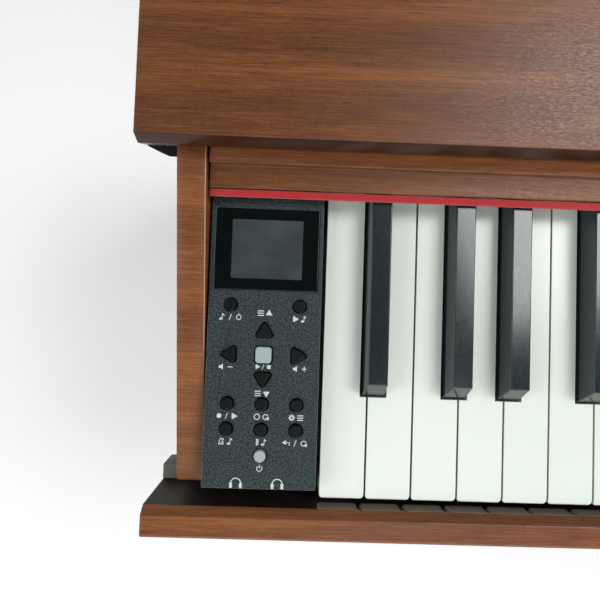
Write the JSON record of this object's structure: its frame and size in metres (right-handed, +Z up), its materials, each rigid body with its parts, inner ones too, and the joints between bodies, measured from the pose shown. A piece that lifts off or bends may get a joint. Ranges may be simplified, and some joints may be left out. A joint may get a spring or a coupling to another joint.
{
  "type": "digital piano",
  "caption": "Console digital piano with a full weighted keyboard, a control panel left of the keys, three pedals and a folding music rest.",
  "frame": {"origin": "centre of the footprint, on the floor", "axes": "+X to the player's right, +Y to the back, +Z up; the player sits at -Y"},
  "size_m": [1.3626, 0.42, 0.9198],
  "materials": {
    "ivory": "satin",
    "ebony": "satin",
    "hardboard": "matt",
    "button": "satin",
    "panel": "speckled",
    "felt": "felt",
    "walnut": "satin foil",
    "black_plastic": "matt",
    "steel": "satin",
    "dark_board": "matt",
    "cone": "matt",
    "circuit": "matt",
    "grey_button": "satin",
    "glass": "gloss",
    "brass": "polished"
  },
  "bodies": {
    "case": {"back_panel": "hardboard", "control_panel": "panel", "felt_strip": "felt", "front_rail": "walnut", "headphone_box": "black_plastic", "inlet_plate": "black_plastic", "key_chassis": "steel", "keybed": "dark_board", "kick_panel": "walnut", "left_arm": "walnut", "left_foot": "walnut", "left_side_panel": "walnut", "left_speaker": "cone", "main_board": "circuit", "nameboard": "walnut", "panel_board": "circuit", "pedal_beam": "walnut", "rest_hinge": "steel", "right_arm": "walnut", "right_end_block": "panel", "right_foot": "walnut", "right_side_panel": "walnut", "right_speaker": "cone", "screen_glass": "glass", "top_board": "walnut"},
    "beat_button": {"beat_button": "button"},
    "chord_button": {"chord_button": "button"},
    "demo_button": {"demo_button": "button"},
    "down_button": {"down_button": "button"},
    "left_button": {"left_button": "button"},
    "mode_button": {"mode_button": "button"},
    "power_button": {"power_button": "grey_button"},
    "record_button": {"record_button": "button"},
    "return_button": {"return_button": "button"},
    "right_button": {"right_button": "button"},
    "setting_button": {"setting_button": "button"},
    "start_button": {"start_button": "grey_button"},
    "sync_button": {"sync_button": "button"},
    "up_button": {"up_button": "button"},
    "A0": {"A0": "ivory"},
    "A_sharp0": {"A_sharp0": "ebony"},
    "B0": {"B0": "ivory"},
    "white_keys_1": {"white_keys_1": "ivory"},
    "black_keys_1": {"black_keys_1": "ebony"},
    "white_keys_2": {"white_keys_2": "ivory"},
    "black_keys_2": {"black_keys_2": "ebony"},
    "white_keys_3": {"white_keys_3": "ivory"},
    "black_keys_3": {"black_keys_3": "ebony"},
    "white_keys_4": {"white_keys_4": "ivory"},
    "black_keys_4": {"black_keys_4": "ebony"},
    "white_keys_5": {"white_keys_5": "ivory"},
    "black_keys_5": {"black_keys_5": "ebony"},
    "white_keys_6": {"white_keys_6": "ivory"},
    "black_keys_6": {"black_keys_6": "ebony"},
    "white_keys_7": {"white_keys_7": "ivory"},
    "black_keys_7": {"black_keys_7": "ebony"},
    "soft_pedal": {"soft_pedal": "brass"},
    "sostenuto_pedal": {"sostenuto_pedal": "brass"},
    "sustain_pedal": {"sustain_pedal": "brass"},
    "music_rest": {"music_rest": "walnut"}
  },
  "joints": [
    {"name": "A0_press", "type": "hinge", "parent": "case", "child": "A0", "pos_m": [0, 0.016, 0.721], "axis": [1, 0, 0], "range_deg": [0, 2.7], "stiffness_Nm_per_rad": 1.4, "springref_deg": -5.73},
    {"name": "A_sharp0_press", "type": "hinge", "parent": "case", "child": "A_sharp0", "pos_m": [0, 0.03, 0.721], "axis": [1, 0, 0], "range_deg": [0, 3], "stiffness_Nm_per_rad": 1.4, "springref_deg": -5.73},
    {"name": "B0_press", "type": "hinge", "parent": "case", "child": "B0", "pos_m": [0, 0.016, 0.721], "axis": [1, 0, 0], "range_deg": [0, 2.7], "stiffness_Nm_per_rad": 1.4, "springref_deg": -5.73},
    {"name": "white_keys_1_press", "type": "hinge", "parent": "case", "child": "white_keys_1", "pos_m": [0, 0.016, 0.721], "axis": [1, 0, 0], "range_deg": [0, 2.7], "stiffness_Nm_per_rad": 9.8, "springref_deg": -5.73},
    {"name": "black_keys_1_press", "type": "hinge", "parent": "case", "child": "black_keys_1", "pos_m": [0, 0.03, 0.721], "axis": [1, 0, 0], "range_deg": [0, 3], "stiffness_Nm_per_rad": 7, "springref_deg": -5.73},
    {"name": "white_keys_2_press", "type": "hinge", "parent": "case", "child": "white_keys_2", "pos_m": [0, 0.016, 0.721], "axis": [1, 0, 0], "range_deg": [0, 2.7], "stiffness_Nm_per_rad": 9.8, "springref_deg": -5.73},
    {"name": "black_keys_2_press", "type": "hinge", "parent": "case", "child": "black_keys_2", "pos_m": [0, 0.03, 0.721], "axis": [1, 0, 0], "range_deg": [0, 3], "stiffness_Nm_per_rad": 7, "springref_deg": -5.73},
    {"name": "white_keys_3_press", "type": "hinge", "parent": "case", "child": "white_keys_3", "pos_m": [0, 0.016, 0.721], "axis": [1, 0, 0], "range_deg": [0, 2.7], "stiffness_Nm_per_rad": 9.8, "springref_deg": -5.73},
    {"name": "black_keys_3_press", "type": "hinge", "parent": "case", "child": "black_keys_3", "pos_m": [0, 0.03, 0.721], "axis": [1, 0, 0], "range_deg": [0, 3], "stiffness_Nm_per_rad": 7, "springref_deg": -5.73},
    {"name": "white_keys_4_press", "type": "hinge", "parent": "case", "child": "white_keys_4", "pos_m": [0, 0.016, 0.721], "axis": [1, 0, 0], "range_deg": [0, 2.7], "stiffness_Nm_per_rad": 9.8, "springref_deg": -5.73},
    {"name": "black_keys_4_press", "type": "hinge", "parent": "case", "child": "black_keys_4", "pos_m": [0, 0.03, 0.721], "axis": [1, 0, 0], "range_deg": [0, 3], "stiffness_Nm_per_rad": 7, "springref_deg": -5.73},
    {"name": "white_keys_5_press", "type": "hinge", "parent": "case", "child": "white_keys_5", "pos_m": [0, 0.016, 0.721], "axis": [1, 0, 0], "range_deg": [0, 2.7], "stiffness_Nm_per_rad": 9.8, "springref_deg": -5.73},
    {"name": "black_keys_5_press", "type": "hinge", "parent": "case", "child": "black_keys_5", "pos_m": [0, 0.03, 0.721], "axis": [1, 0, 0], "range_deg": [0, 3], "stiffness_Nm_per_rad": 7, "springref_deg": -5.73},
    {"name": "white_keys_6_press", "type": "hinge", "parent": "case", "child": "white_keys_6", "pos_m": [0, 0.016, 0.721], "axis": [1, 0, 0], "range_deg": [0, 2.7], "stiffness_Nm_per_rad": 9.8, "springref_deg": -5.73},
    {"name": "black_keys_6_press", "type": "hinge", "parent": "case", "child": "black_keys_6", "pos_m": [0, 0.03, 0.721], "axis": [1, 0, 0], "range_deg": [0, 3], "stiffness_Nm_per_rad": 7, "springref_deg": -5.73},
    {"name": "white_keys_7_press", "type": "hinge", "parent": "case", "child": "white_keys_7", "pos_m": [0, 0.016, 0.721], "axis": [1, 0, 0], "range_deg": [0, 2.7], "stiffness_Nm_per_rad": 9.8, "springref_deg": -5.73},
    {"name": "black_keys_7_press", "type": "hinge", "parent": "case", "child": "black_keys_7", "pos_m": [0, 0.03, 0.721], "axis": [1, 0, 0], "range_deg": [0, 3], "stiffness_Nm_per_rad": 7, "springref_deg": -5.73},
    {"name": "beat_button_press", "type": "slide", "parent": "case", "child": "beat_button", "axis": [0, 0, -1], "range_m": [0, 0.0011], "stiffness_N_per_m": 400, "springref_m": -0.001},
    {"name": "chord_button_press", "type": "slide", "parent": "case", "child": "chord_button", "axis": [0, 0, -1], "range_m": [0, 0.0011], "stiffness_N_per_m": 400, "springref_m": -0.001},
    {"name": "demo_button_press", "type": "slide", "parent": "case", "child": "demo_button", "axis": [0, 0, -1], "range_m": [0, 0.0011], "stiffness_N_per_m": 400, "springref_m": -0.001},
    {"name": "down_button_press", "type": "slide", "parent": "case", "child": "down_button", "axis": [0, 0, -1], "range_m": [0, 0.0011], "stiffness_N_per_m": 400, "springref_m": -0.001},
    {"name": "left_button_press", "type": "slide", "parent": "case", "child": "left_button", "axis": [0, 0, -1], "range_m": [0, 0.0011], "stiffness_N_per_m": 400, "springref_m": -0.001},
    {"name": "mode_button_press", "type": "slide", "parent": "case", "child": "mode_button", "axis": [0, 0, -1], "range_m": [0, 0.0011], "stiffness_N_per_m": 400, "springref_m": -0.001},
    {"name": "power_button_press", "type": "slide", "parent": "case", "child": "power_button", "axis": [0, 0, -1], "range_m": [0, 0.0011], "stiffness_N_per_m": 400, "springref_m": -0.001},
    {"name": "record_button_press", "type": "slide", "parent": "case", "child": "record_button", "axis": [0, 0, -1], "range_m": [0, 0.0011], "stiffness_N_per_m": 400, "springref_m": -0.001},
    {"name": "return_button_press", "type": "slide", "parent": "case", "child": "return_button", "axis": [0, 0, -1], "range_m": [0, 0.0011], "stiffness_N_per_m": 400, "springref_m": -0.001},
    {"name": "right_button_press", "type": "slide", "parent": "case", "child": "right_button", "axis": [0, 0, -1], "range_m": [0, 0.0011], "stiffness_N_per_m": 400, "springref_m": -0.001},
    {"name": "setting_button_press", "type": "slide", "parent": "case", "child": "setting_button", "axis": [0, 0, -1], "range_m": [0, 0.0011], "stiffness_N_per_m": 400, "springref_m": -0.001},
    {"name": "start_button_press", "type": "slide", "parent": "case", "child": "start_button", "axis": [0, 0, -1], "range_m": [0, 0.0011], "stiffness_N_per_m": 400, "springref_m": -0.001},
    {"name": "sync_button_press", "type": "slide", "parent": "case", "child": "sync_button", "axis": [0, 0, -1], "range_m": [0, 0.0011], "stiffness_N_per_m": 400, "springref_m": -0.001},
    {"name": "up_button_press", "type": "slide", "parent": "case", "child": "up_button", "axis": [0, 0, -1], "range_m": [0, 0.0011], "stiffness_N_per_m": 400, "springref_m": -0.001},
    {"name": "soft_pedal_press", "type": "hinge", "parent": "case", "child": "soft_pedal", "pos_m": [0, 0.112, 0.069], "axis": [1, 0, 0], "range_deg": [0, 7], "stiffness_Nm_per_rad": 12, "springref_deg": -8.59},
    {"name": "sostenuto_pedal_press", "type": "hinge", "parent": "case", "child": "sostenuto_pedal", "pos_m": [0, 0.112, 0.069], "axis": [1, 0, 0], "range_deg": [0, 7], "stiffness_Nm_per_rad": 12, "springref_deg": -8.59},
    {"name": "sustain_pedal_press", "type": "hinge", "parent": "case", "child": "sustain_pedal", "pos_m": [0, 0.112, 0.069], "axis": [1, 0, 0], "range_deg": [0, 7], "stiffness_Nm_per_rad": 12, "springref_deg": -8.59},
    {"name": "music_rest_fold", "type": "hinge", "parent": "case", "child": "music_rest", "pos_m": [0, 0.074, 0.7756], "axis": [-1, 0, 0], "range_deg": [0, 70]}
  ]
}
